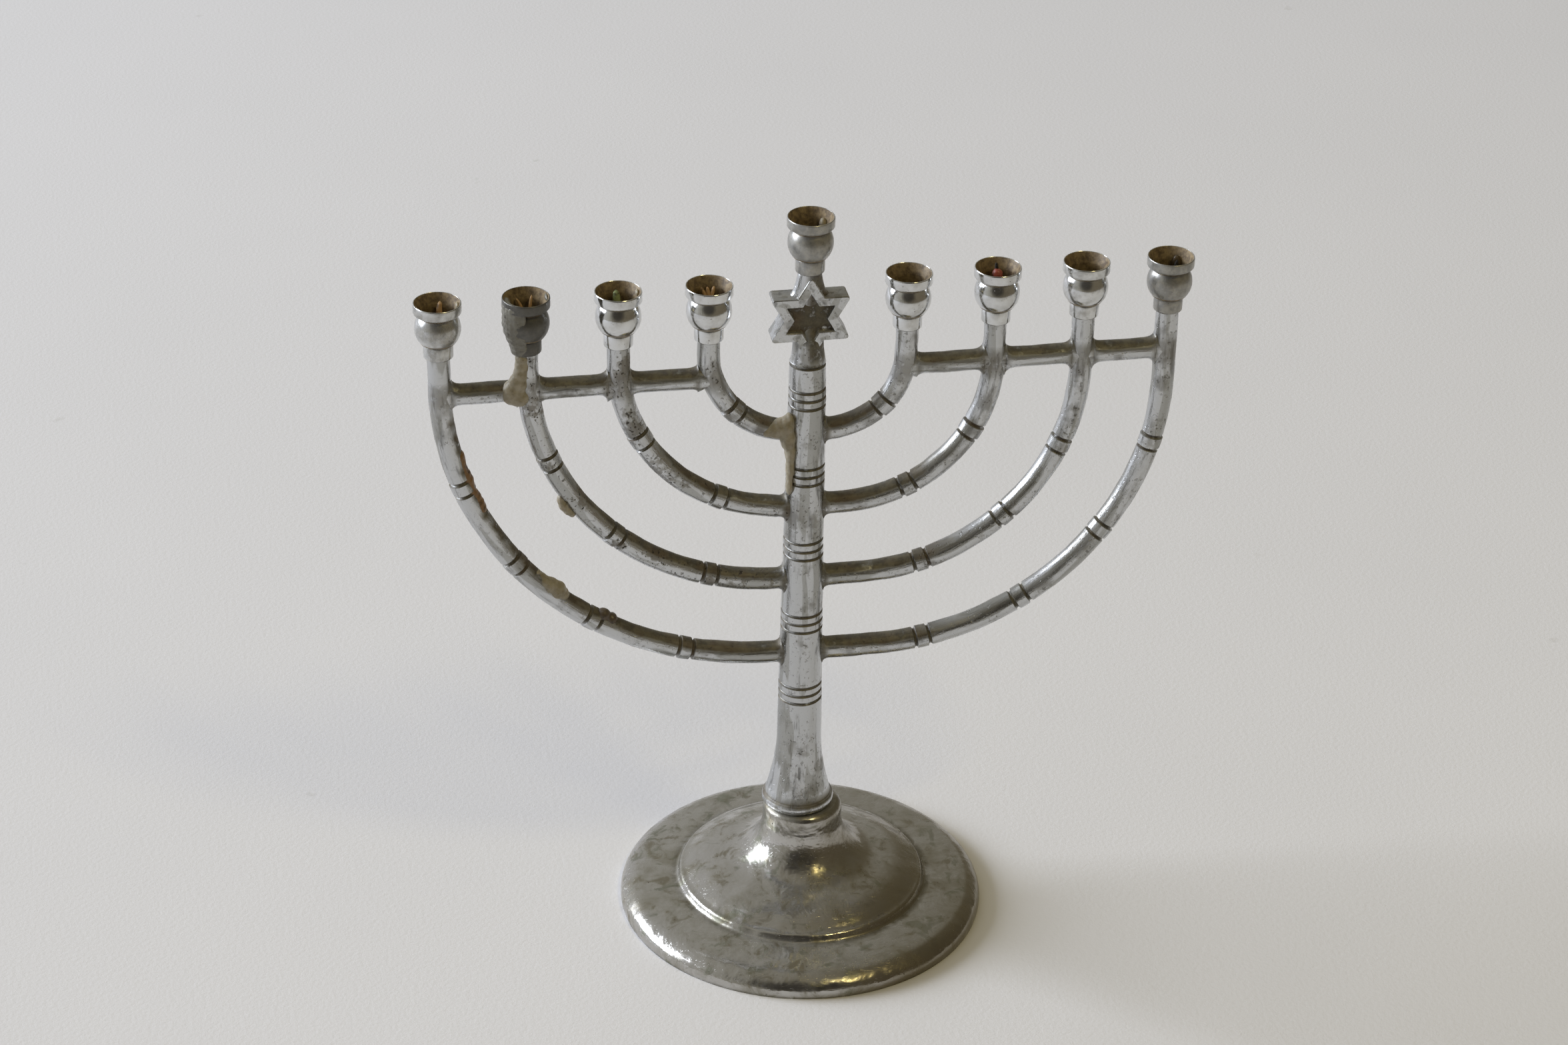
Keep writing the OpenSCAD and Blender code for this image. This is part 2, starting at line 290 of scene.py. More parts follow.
class Path:
    """The centreline of one arm: a straight run, a quarter bend and a straight rise."""

    def __init__(self, cup_x, root, share):
        self.side = 1 if cup_x > 0 else -1
        self.reach = abs(cup_x)
        self.root = root
        self.run = self.reach * share
        self.bend = self.reach - self.run
        self.bend_end = self.run + self.bend * pi / 2
        self.length = self.bend_end + SIDE_TOP - root - self.bend

    def at(self, s):
        """Point, and direction across the arm in its plane, at a length along the path."""
        if s <= self.run:
            return Vector((self.side * s, 0, self.root)), Vector((0, 0, 1))
        if s >= self.bend_end:
            rise = self.root + self.bend + s - self.bend_end
            return Vector((self.side * self.reach, 0, rise)), Vector((-self.side, 0, 0))
        a = (s - self.run) / self.bend
        x = self.run + self.bend * sin(a)
        z = self.root + self.bend - self.bend * cos(a)
        return Vector((self.side * x, 0, z)), Vector((-self.side * sin(a), 0, cos(a)))

    def along(self, point):
        """Length along the path of a point near it."""
        x, z = self.side * point.x, point.z
        if x <= self.run and z < self.root + self.bend / 2:
            return x
        if z >= self.root + self.bend:
            return self.bend_end + z - self.root - self.bend
        return self.run + self.bend * atan2(x - self.run, self.root + self.bend - z)


def band_middles(path, count):
    spread = (RIGHT_SPREADS if path.side > 0 else LEFT_SPREADS)[count - 1]
    spots = [BAND_MIDDLES[count - 1] + (k - (count - 1) / 2) * spread / count for k in range(count)]
    return [path.run + path.bend * radians(spot) for spot in spots]


def web(gap, fillet=FILLET):
    """How far a cast corner has filled in, at a distance from the wall it runs into."""
    t = fillet - min(max(gap, 0.0), fillet)
    return fillet - sqrt(fillet**2 - t**2)


def arm_radius(s, bands):
    """Radius of an arm, with a raised band between each pair of grooves."""
    radius = ARM_R
    for band in bands:
        off = abs(s - band)
        if off < BAND_WIDTH / 2 - GROOVE_WIDTH / 2:
            radius += BAND_RISE
        dip = abs(off - BAND_WIDTH / 2) / (GROOVE_WIDTH / 2)
        if dip < 1:
            radius -= GROOVE_DEPTH * (1 - dip**2)
    return radius


def arm(cup_x, root, share, count):
    path = Path(cup_x, root, share)
    bands = band_middles(path, count)
    stem_r = shaft_radius(root) - 0.15
    stops = {path.run, path.bend_end, path.length, 1.6}
    stops |= {stem_r + d for d in (-0.6, 0, 0.12, 0.3, 0.55, 0.85, 1.2, 1.5)}
    for band in bands:
        for edge in (-BAND_WIDTH / 2, BAND_WIDTH / 2):
            stops |= {band + edge + d * GROOVE_WIDTH / 2 for d in GROOVE_STATIONS}
        stops |= {band - 0.6, band + 0.6}
    step = 1.9
    count_even = int(path.length / step)
    even = [1.6 + (path.length - 1.6) * k / count_even for k in range(1, count_even)]
    stops |= {s for s in even if all(abs(s - other) > 0.7 for other in stops)}
    stops = sorted(s for s in stops if s >= 1.6)
    fresh()
    start = path.at(stops[0])[0]
    radius = arm_radius(stops[0], bands)
    tall = 1.0
    bpy.ops.mesh.primitive_circle_add(
        vertices=32, radius=radius * MM, location=start * MM, rotation=(0, pi / 2, 0)
    )
    bpy.ops.object.mode_set(mode="EDIT")
    pivot = Vector((path.side * path.run, 0, root + path.bend)) * MM
    for here, there in zip(stops, stops[1:]):
        if there <= path.run + 1e-6:
            extrude(x=path.side * (there - here))
        elif here >= path.bend_end - 1e-6:
            extrude(z=there - here)
        else:
            bpy.ops.mesh.spin(
                steps=1,
                angle=(there - here) / path.bend,
                center=pivot,
                axis=(0, path.side, 0),
            )
        next_radius = arm_radius(there, bands)
        next_tall = 1 + web(there - stem_r) / ARM_R
        wide = next_radius / radius
        high = wide * next_tall / tall
        resize((high, wide, high), path.at(there)[0])
        radius, tall = next_radius, next_tall
    end = path.at(path.length)[0]
    for rim, rise in ((ARM_R - 0.12, 0.0), (STUD_HOLE_R, 0.0), (STUD_HOLE_R, -STUD_HOLE_DEEP)):
        extrude(z=rise)
        resize((rim / radius, rim / radius, 1), end)
        radius = rim
    piece = close_up()
    grain, soil, skin, wear, grime = [], [], [], [], []
    shift = cup_x * 1.7
    amount = ARM_WEAR.get(round(cup_x), 0.35)
    crusted = cup_x == min(CUP_X)
    for vertex in piece.data.vertices:
        point = vertex.co / MM
        s = path.along(point)
        centre, across = path.at(min(max(s, 0), path.length))
        u, v = (point - centre).dot(across), point.y
        r = hypot(u, v)
        grain.append((u + shift, v, s * 0.14))
        sunk = ease(ARM_R - r, 0.08, 0.3) if r > 1.7 and s < path.length - 1 else 0.0
        sunk *= 0.25 + 0.75 * ease(u, -2.3, -0.2)
        near_stem = ease(s - stem_r, 1.7, 0.1) * 0.8
        near_bar = ease(abs(point.z - BAR_Z) - BAR_R, 1.4, 0.0) * 0.45
        crust = 0.0
        if crusted and s > CRUST_START:
            ragged = u + 0.5 * sin(s * 1.9) + 0.4 * sin(s * 4.3)
            crust = ease(ragged, 1.3, 2.1) * ease(s, path.length - 8, path.length - 20)
        soil.append(max(sunk, near_stem, near_bar, crust))
        skin.append(0.0 if r < 1.7 or s > path.length - 0.4 else 1.0)
        wear.append(amount)
        grime.append(1.0 if path.side < 0 else 1 - 0.72 * ease(s, 24, 46))
    mark(piece, "grime", grime)
    mark(piece, "grain", grain, "FLOAT_VECTOR")
    mark(piece, "soil", soil)
    mark(piece, "skin", skin)
    mark(piece, "wear", wear)
    return piece


def bar(xs):
    """A crossbar through four arms, drawn out towards each of them as a casting is."""
    side = 1 if xs[0] > 0 else -1
    reaches = sorted(abs(x) for x in xs)
    first, last = reaches[0], reaches[-1]

    def shape(x):
        gap = min(abs(x - reach) for reach in reaches)
        lift = web(gap - ARM_R + 0.1, BAR_FILLET) * ease(gap, 0.6, ARM_R - 0.2)
        if x < first + 6:
            lift *= 0.5
        return BAR_R - 0.25 * lift, BAR_R + 0.9 * lift

    stops = {first, last}
    for reach in reaches:
        for side_of in (-1, 1):
            stops |= {
                reach + side_of * (ARM_R - 0.1 + d)
                for d in (-1.4, -0.7, 0, 0.12, 0.3, 0.55, 0.9, 1.4, 2.2, 3.6)
            }
    for here, there in zip(reaches, reaches[1:]):
        stops |= {here + (there - here) * k / 7 for k in (3, 4)}
    stops = sorted(x for x in stops if first <= x <= last)
    fresh()
    wide, tall = shape(stops[0])
    bpy.ops.mesh.primitive_circle_add(
        vertices=32,
        radius=wide * MM,
        location=(side * first * MM, 0, BAR_Z * MM),
        rotation=(0, pi / 2, 0),
    )
    bpy.ops.object.mode_set(mode="EDIT")
    resize((1, 1, tall / wide), (side * first, 0, BAR_Z))
    for here, there in zip(stops, stops[1:]):
        extrude(x=side * (there - here))
        next_wide, next_tall = shape(there)
        resize((1, next_wide / wide, next_tall / tall), (side * there, 0, BAR_Z))
        wide, tall = next_wide, next_tall
    piece = close_up()
    grain, soil = [], []
    for vertex in piece.data.vertices:
        x, y, z = vertex.co / MM
        gap = min(abs(abs(x) - reach) for reach in reaches) - ARM_R
        grain.append((y, z - BAR_Z, x * 0.14))
        corner = ease(gap, 1.3, 0.2) * ease(gap, -1.0, 0.0) * 0.5
        soil.append(max(corner, ease(z - BAR_Z, 0.2, 1.4) * 0.55))
    mark(piece, "grain", grain, "FLOAT_VECTOR")
    mark(piece, "soil", soil)
    mark(piece, "skin", [1.0] * len(soil))
    mark(piece, "wear", [0.5 if side < 0 else 0.3] * len(soil))
    mark(piece, "grime", [1.0] * len(soil))
    return piece


def star():
    """The star: an outline drawn from a twelve-sided plate, with a sunk star in both faces."""
    fresh()
    bpy.ops.mesh.primitive_circle_add(
        vertices=12,
        radius=STAR_R * MM,
        fill_type="NGON",
        location=(0, -STAR_THICK / 2 * MM, STAR_Z * MM),
        rotation=(pi / 2, 0, 0),
    )
    plate = bpy.context.object
    bpy.ops.object.transform_apply(location=True, rotation=True, scale=True)
    centre = Vector((0, -STAR_THICK / 2, STAR_Z)) * MM

    def pick(test, kind):
        bpy.ops.object.mode_set(mode="EDIT")
        bpy.ops.mesh.select_mode(type=kind)
        bpy.ops.mesh.select_all(action="DESELECT")
        bpy.ops.object.mode_set(mode="OBJECT")
        items = {"VERT": plate.data.vertices, "EDGE": plate.data.edges, "FACE": plate.data.polygons}
        for item in items[kind]:
            item.select = test(item)
        bpy.ops.object.mode_set(mode="EDIT")

    def valley(vertex):
        offset = vertex.co - centre
        turned = degrees(atan2(offset.z, offset.x))
        return abs((turned % 60) - 0) < 5 or abs((turned % 60) - 60) < 5

    pick(valley, "VERT")
    bpy.ops.transform.resize(value=(1 / sqrt(3), 1, 1 / sqrt(3)), center_override=centre)
    bpy.ops.mesh.select_mode(type="FACE")
    bpy.ops.mesh.select_all(action="SELECT")
    extrude(y=STAR_THICK)
    bpy.ops.object.mode_set(mode="OBJECT")
    for front in (-1, 1):

        def flat(face):
            return face.center.y * front > 0.49 * STAR_THICK * MM and len(face.vertices) == 12

        pick(flat, "FACE")
        bpy.ops.mesh.inset(thickness=STAR_BORDER * MM, depth=0)
        extrude(y=-front * STAR_SUNK)
        lift = Vector((0, front * (STAR_THICK / 2 - STAR_SUNK), STAR_Z)) * MM
        bpy.ops.transform.resize(value=(0.93, 1, 0.93), center_override=lift)
        bpy.ops.object.mode_set(mode="OBJECT")

    def tip(edge):
        a, b = (plate.data.vertices[k].co / MM for k in edge.vertices)
        outermost = hypot(a.x, a.z - STAR_Z) > STAR_R - 0.5
        return (a - b).length > STAR_THICK - 0.1 and outermost and abs(a.x - b.x) < 0.1

    pick(tip, "EDGE")
    bpy.ops.mesh.bevel(offset=1.25 * MM, segments=3)
    piece = close_up(30)
    harden(piece, "BEVEL", width=0.28 * MM, segments=2, limit_method="ANGLE", angle_limit=radians(35))
    bpy.ops.object.shade_smooth_by_angle(angle=radians(30))
    harden(piece, "TRIANGULATE")
    grain, soil = [], []
    for vertex in piece.data.vertices:
        x, y, z = vertex.co / MM
        sunk = ease(STAR_THICK / 2 - abs(y), 0.5, 1.0)
        inside = hypot(x, z - STAR_Z) < 7.0
        grain.append((x * 0.8, y, (z - STAR_Z) * 0.8))
        soil.append(sunk if inside else 0.0)
    mark(piece, "grain", grain, "FLOAT_VECTOR")
    mark(piece, "soil", soil)
    mark(piece, "skin", [0.4] * len(soil))
    mark(piece, "wear", [0.15] * len(soil))
    mark(piece, "grime", [0.6] * len(soil))
    return piece


def casting():
    """Stem, star, eight arms and two crossbars, poured as one piece."""
    parts = [stem(), star()]
    inner_first = sorted(range(8), key=lambda k: abs(CUP_X[k]))
    for k in inner_first:
        rank = sorted({round(abs(x), 2) for x in CUP_X}).index(round(abs(CUP_X[k]), 2))
        share = RIGHT_RUN if CUP_X[k] > 0 else LEFT_RUN
        parts.append(arm(CUP_X[k], ARM_ROOTS[rank], share, rank + 1))
    parts.append(bar([x for x in CUP_X if x > 0]))
    parts.append(bar([x for x in CUP_X if x < 0]))
    piece = merge("casting", parts)
    group = piece.vertex_groups.new(name="skin")
    for vertex, weight in zip(piece.data.vertices, piece.data.attributes["skin"].data):
        group.add([vertex.index], weight.value, "REPLACE")
    clouds = bpy.data.textures.new("cast_waves", "CLOUDS")
    clouds.noise_scale = 5.5 * MM
    clouds.noise_depth = 1
    harden(
        piece,
        "DISPLACE",
        texture=clouds,
        texture_coords="LOCAL",
        strength=0.34 * MM,
        mid_level=0.5,
        vertex_group="skin",
    )
    return piece


# ---------------------------------------------------------------- cups and foot


def cup_outline():
    waist_z = CUP_HEIGHT - 2.9
    mouth_z = waist_z + 0.5
    ball_r, ball_z, collar_r = 5.3, 7.4, 3.4
    thread = []
    for k in range(9):
        z = -5.1 + k * 0.56
        thread += [(1.28, z), (1.5, z + 0.2), (1.5, z + 0.28), (1.28, z + 0.48)]
    outline = [(0.6, -5.6), (1.15, -5.6), (1.28, -5.4)] + thread + [(1.28, -0.05), (1.5, 0.0)]
    outline += [(2.7, 0.0), (3.15, 0.1), (3.36, 0.32), (collar_r, 0.55)]
    outline += [(collar_r, 3.35), (3.32, 3.55), (3.2, 3.66)]
    ball_start = degrees(-acos(collar_r / ball_r)) + 9
    ball_end = degrees(asin((waist_z - ball_z) / ball_r)) - 2.5
    outline += arc(0, ball_z, ball_r, ball_start, ball_end, 22)
    outline += [
        (4.66, waist_z + 0.02),
        (4.62, waist_z + 0.2),
        (4.8, waist_z + 0.34),
        (5.3, waist_z + 0.5),
        (5.44, waist_z + 0.6),
        (5.5, waist_z + 0.75),
        (5.5, CUP_HEIGHT - 0.22),
        (5.46, CUP_HEIGHT - 0.08),
        (5.38, CUP_HEIGHT),
        (5.27, CUP_HEIGHT),
        (5.18, CUP_HEIGHT - 0.1),
    ]
    outline += [(5.18 - 1.05 * t, CUP_HEIGHT - 0.1 - 2.35 * t) for t in (0.25, 0.5, 0.75, 0.95)]
    outline += [(4.1, mouth_z - 0.15)]
    outline += [(4.1, mouth_z - 6.2 * t) for t in (0.15, 0.3, 0.5, 0.7, 0.9, 0.98)]
    outline += [(3.9, mouth_z - 6.25), (2.2, mouth_z - 6.75), (0.25, mouth_z - 6.78)]
    return outline


CUP_FILMS = {
    "shamash_cup": 0.6,
    "candle_cup_1": 0.42,
    "candle_cup_2": 1.0,
    "candle_cup_7": 0.25,
    "candle_cup_8": 0.6,
}
CLEAN_FILM = 0.08


def cups():
    """Turns one cup and copies it on to the other eight places, each copy with its own mesh."""
    first = turn("cup_shamash", cup_outline(), (0, 0, NECK_TOP), sides=72)
    bore, film = [], []
    for vertex in first.data.vertices:
        x, y, z = vertex.co / MM
        r, h = hypot(x, y), z - NECK_TOP
        inside = h > 4.0 and (r < 4.25 or (h > CUP_HEIGHT - 2.6 and r < 5.24 - (CUP_HEIGHT - h) * 0.38))
        bore.append(0.7 + 0.3 * ease(CUP_HEIGHT - h, 0.1, 1.6) if inside else 0.0)
    mark(first, "bore", bore)
    made = {"shamash_cup": first}
    for name, x in zip(CUPS, CUP_X):
        fresh()
        first.select_set(True)
        bpy.context.view_layer.objects.active = first
        bpy.ops.object.duplicate()
        copy = bpy.context.object
        bpy.ops.transform.translate(value=(x * MM, 0, (SIDE_TOP - NECK_TOP) * MM))
        bpy.ops.object.transform_apply(location=True, rotation=False, scale=False)
        copy.name = copy.data.name = name.replace("candle_", "")
        made[name] = copy
    for name, piece in made.items():
        mark(piece, "film", [CUP_FILMS.get(name, CLEAN_FILM)] * len(piece.data.vertices))
        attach(piece, name)
        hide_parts(name)
        piece.data.materials.clear()
        piece.data.materials.append(FINISH["cup_chrome"])
    return made


def spun_foot():
    rim_x, rim_z, rim_r = FOOT_R - 3.5, 1.1, 3.5
    rim = arc(rim_x, rim_z, rim_r, degrees(-asin(rim_z / rim_r)), 46, 12)
    slack = 7.5
    slack_x, slack_z = (c - (slack - rim_r) * f(radians(46)) for c, f in ((rim_x, cos), (rim_z, sin)))
    rim += arc(slack_x, slack_z, slack, 46, 76, 10)[1:]
    outside = rim[:-1] + bow(rim[-1], (31.3, 6.45), -0.2, 8)
    outside += [(30.9, 6.52), (30.6, 6.75), (30.3, 7.1), (30.1, 7.6), (29.85, 7.98), (29.4, 8.22)]
    outside += bow((29.0, 8.33), (19.2, 12.4), -0.5, 12)
    outside += bow((19.2, 12.4), (9.72, 22.4), 2.2, 18)[1:]
    outside += [(9.68, 23.4), (9.66, 24.6), (9.66, 25.6)]
    outside += bow((9.6, 26.1), (8.5, FOOT_TOP - 0.15), -0.35, 6) + [(8.2, FOOT_TOP)]
    inside = [(r - WALL, z - WALL) for r, z in reversed(outside[6:-1])]
    inside = [(3.9, FOOT_TOP), (3.9, FOOT_TOP - WALL)] + inside + [(rim_x + 1.7, 0.0)]
    inside = [(r, max(z, 0.0)) for r, z in inside]
    piece = turn("spun_foot", outside + inside + [outside[0]], (FOOT_X, 0, 0), sides=144)
    soil = []
    for vertex in piece.data.vertices:
        x, y, z = vertex.co / MM
        r = hypot(x - FOOT_X, y)
        crease = ease(abs(r - 31.2), 1.3, 0.2)
        neck = ease(abs(z - FOOT_TOP), 1.6, 0.3)
        soil.append(max(crease * 0.8, neck * 0.8, ease(z, 0.9, 0.1) * 0.7))
    mark(piece, "soil", soil)
    return piece


# ---------------------------------------------------------------- wax, wicks and soot


def lump(name, blobs, fineness=0.28):
    """Wax: balls pressed to shape, pulled together into one skin and softened."""
    balls = []
    for x, y, z, rx, ry, rz in blobs:
        fresh()
        bpy.ops.mesh.primitive_uv_sphere_add(
            segments=20, ring_count=12, radius=MM, location=(x * MM, y * MM, z * MM), scale=(rx, ry, rz)
        )
        balls.append(bpy.context.object)
        bpy.ops.object.transform_apply(location=True, rotation=True, scale=True)
    piece = merge(name, balls)
    harden(piece, "REMESH", mode="VOXEL", voxel_size=fineness * MM)
    harden(piece, "SMOOTH", factor=0.6, iterations=8)
    ripple = bpy.data.textures.new(name + "_ripple", "CLOUDS")
    ripple.noise_scale = 2.4 * MM
    harden(piece, "DISPLACE", texture=ripple, texture_coords="LOCAL", strength=0.4 * MM, mid_level=0.45)
    fresh()
    piece.select_set(True)
    bpy.ops.object.shade_smooth()
    return piece


def coat(width, start, end):
    """Blobs of a thin coat over one side of a cup, from its mouth down past its collar."""
    draws = [0.0, 0.05, 0.05, 0.05, 0.3, 0.8, 1.5, 1.9]
    heights = [12.0, 10.4, 8.8, 7.2, 5.6, 4.0, 2.4, 0.9]
    blobs = []
    for height, draw in zip(heights, draws):
        for k in range(9):
            a = radians(start + (end - start) * k / 8)
            r = width - draw - 1.0
            thin = 1.1 - 0.45 * ease(k, 5, 8)
            blobs.append((r * cos(a), r * sin(a), height, thin, thin, 1.4))
    return blobs


def strand(name, points, sides=12):
    """A wick or a stub: a small ring drawn from point to point, (x, y, z, radius) each."""
    fresh()
    x, y, z, radius = points[0]
    place = (x * MM, y * MM, z * MM)
    bpy.ops.mesh.primitive_circle_add(vertices=sides, radius=radius * MM, location=place)
    bpy.ops.object.mode_set(mode="EDIT")
    for nx, ny, nz, next_radius in points[1:]:
        extrude(nx - x, ny - y, nz - z)
        grow = next_radius / radius
        resize((grow, grow, 1), (nx, ny, nz))
        x, y, z, radius = nx, ny, nz, next_radius
    piece = close_up(60)
    piece.name = piece.data.name = name
    rag = bpy.data.textures.new(name + "_rag", "CLOUDS")
    rag.noise_scale = 0.7 * MM
    harden(piece, "SUBSURF", levels=1, render_levels=1)
    harden(piece, "DISPLACE", texture=rag, texture_coords="LOCAL", strength=0.3 * MM, mid_level=0.5)
    return piece


def in_cup(cup, points):
    """Moves points given from the underside of a cup's collar to where that cup stands."""
    x = 0.0 if cup == "shamash_cup" else CUP_X[CUPS.index(cup)]
    z = NECK_TOP if cup == "shamash_cup" else SIDE_TOP
    return [(px + x, py, pz + z, *rest) for px, py, pz, *rest in points]


ARM_WAX = {
    "wax_on_crossing": [
        (-68.4, -1.3, 147.2, 3.0, 2.6, 3.1),
        (-67.2, -1.4, 146.0, 2.6, 2.3, 2.4),
        (-67.4, -1.5, 149.6, 2.3, 2.2, 2.6),
        (-66.8, -1.5, 151.8, 1.7, 2.1, 2.4),
        (-66.5, -1.4, 154.0, 1.6, 2.0, 2.4),
        (-66.4, -1.2, 156.0, 1.6, 2.1, 1.6),
    ],
    "wax_under_arm": [
        (-57.7, -0.8, 117.9, 1.0, 1.4, 1.4),
        (-57.1, -0.9, 116.5, 1.2, 1.7, 1.5),
        (-56.2, -0.9, 115.2, 1.2, 1.6, 1.3),
        (-55.2, -0.8, 114.2, 1.0, 1.3, 1.1),
    ],
    "wax_on_outer_arm": [
        (-61.9, -0.8, 96.2, 1.6, 1.8, 1.5),
        (-60.5, -0.9, 95.1, 2.1, 2.2, 2.0),
        (-58.9, -0.9, 93.7, 2.2, 2.3, 2.2),
        (-57.6, -0.7, 92.4, 1.7, 1.8, 1.7),
        (-63.8, -0.6, 98.8, 1.2, 1.2, 0.6),
        (-62.7, -0.6, 97.8, 1.2, 1.2, 0.5),
    ],
    "wax_at_stem": [
        (-9.4, -1.1, 132.6, 1.6, 2.2, 1.4),
        (-7.8, -1.3, 132.9, 2.2, 2.4, 2.1),
        (-6.2, -1.6, 133.2, 2.4, 2.5, 2.6),
        (-5.0, -1.8, 133.8, 1.8, 2.5, 2.6),
        (-4.3, -1.8, 135.4, 1.0, 2.1, 1.6),
        (-4.7, -2.0, 130.8, 1.9, 2.6, 3.4),
        (-4.1, -2.1, 127.2, 1.3, 2.3, 3.6),
        (-4.1, -2.1, 122.8, 1.0, 2.1, 3.8),
        (-4.2, -2.1, 118.6, 0.8, 1.9, 3.0),
    ],
}
SCORCHED_WAX = [
    (-50.0, -0.5, 85.9, 1.3, 1.5, 1.0),
    (-47.9, -0.6, 85.7, 1.7, 1.9, 1.6),
    (-46.0, -0.6, 84.5, 1.5, 1.7, 1.4),
    (-52.7, -0.5, 87.5, 1.6, 1.3, 0.7),
]
AMBER_RUN = (95.5, 110.5)


def amber_blobs():
    """A thin run of wax down the inner side of the outer left arm."""
    path = Path(CUP_X[0], ARM_ROOTS[-1], LEFT_RUN)
    start, end = AMBER_RUN
    blobs = []
    for k in range(12):
        centre, across = path.at(start + (end - start) * k / 11)
        thick = 1.1 + 0.25 * sin(k * 1.3)
        x, y, z = centre + across * 1.75
        blobs.append((x, y - 0.4, z, thick, 1.7, 1.8))
    return blobs


def old_wax():
    """The wax, wicks and stubs that the last candles left on the arms and in the cups."""
    for name, blobs in ARM_WAX.items():
        finish_piece(lump(name, blobs), "candle_wax")
    finish_piece(lump("scorched_wax", SCORCHED_WAX), "candle_wax", finish="scorched_wax")
    finish_piece(lump("amber_wax", amber_blobs()), "candle_wax", finish="amber_wax")

    def wax(cup, name, blobs, finish=None):
        finish_piece(lump(name, in_cup(cup, blobs), 0.22), "candle_wax", cup, finish)

    def wick(cup, name, points, slot="burnt_wick", finish=None):
        finish_piece(strand(name, in_cup(cup, points)), slot, cup, finish)

    def straw(cup, name, points):
        wick(cup, name, points, "candle_wax", "straw_wick")

    wax("candle_cup_1", "cup_1_wax", [(4.6, 0.4, 12.5, 0.5, 1.3, 0.9), (0, 0, 5.6, 3.4, 3.4, 0.9)])
    straw("candle_cup_1", "cup_1_wick", [(0.4, 0.6, 6, 0.5), (0.6, 1.6, 10, 0.8), (0.9, 2.6, 13.0, 0.6)])
    smoked = coat(5.55, 165, 256) + [(4.8, 0.8, 12.9, 0.5, 1.6, 0.8)]
    wax("candle_cup_2", "cup_2_smoked_wax", smoked, "smoked_wax")
    bent = [(0.2, 1.2, 6, 0.5), (-0.6, 2.0, 10, 0.5), (-2.0, 2.9, 12.4, 0.3)]
    straw("candle_cup_2", "cup_2_wick_a", bent)
    upright = [(0.6, 1.2, 6, 0.5), (1.0, 2.0, 10, 0.5), (1.7, 2.9, 12.9, 0.3)]
    straw("candle_cup_2", "cup_2_wick_b", upright)
    wax("candle_cup_3", "cup_3_wax", [(0.2, 0.2, 5.6, 3.5, 3.5, 1.0), (4.5, 1.0, 12.6, 0.5, 1.2, 0.8)])
    stub = [(0, 0.8, 6, 1.0), (-0.1, 1.6, 10, 1.0), (-0.2, 2.4, 13.1, 0.8)]
    wick("candle_cup_3", "cup_3_stub", stub, "candle_wax", "green_wax")
    pool = [(0.4, 1.2, 9.2, 2.2, 1.6, 0.8), (0, 0, 5.8, 3.6, 3.6, 1.2)]
    wax("candle_cup_4", "cup_4_wax", pool, "amber_wax")
    for letter, lean in (("a", -1.7), ("b", -0.2), ("c", 1.4)):
        frayed = [(0.2, 1.0, 8, 0.55), (0.2 + lean * 0.5, 1.8, 10.4, 0.6), (0.2 + lean, 2.6, 12.3, 0.35)]
        straw("candle_cup_4", "cup_4_wick_" + letter, frayed)
    wax("shamash_cup", "shamash_wax", [(3.2, 2.2, 10.6, 0.9, 1.2, 1.6), (0, 0, 5.6, 3.6, 3.6, 1.0)])
    stub = [(0.2, 0.8, 8.6, 1.6, 1.6, 3.2), (0.1, 1.0, 11.4, 1.35, 1.35, 1.5)]
    wax("candle_cup_6", "cup_6_stub", stub, "pink_wax")
    burnt = [(0.1, 1.1, 11.6, 0.45), (0.0, 1.4, 13.0, 0.5), (-0.2, 1.5, 14.2, 0.28)]
    wick("candle_cup_6", "cup_6_wick", burnt)
    wick("candle_cup_8", "cup_8_wick", [(1.0, 0.8, 6, 0.9), (1.6, 1.2, 9.5, 0.8), (2.0, 1.6, 12.0, 0.45)])
    soot = [(0, 0, 5.8, 3.6, 3.6, 1.2), (2.2, 3.0, 10.6, 1.1, 0.8, 1.8)]
    wax("candle_cup_8", "cup_8_soot", soot, "scorched_wax")


# ---------------------------------------------------------------- finishes


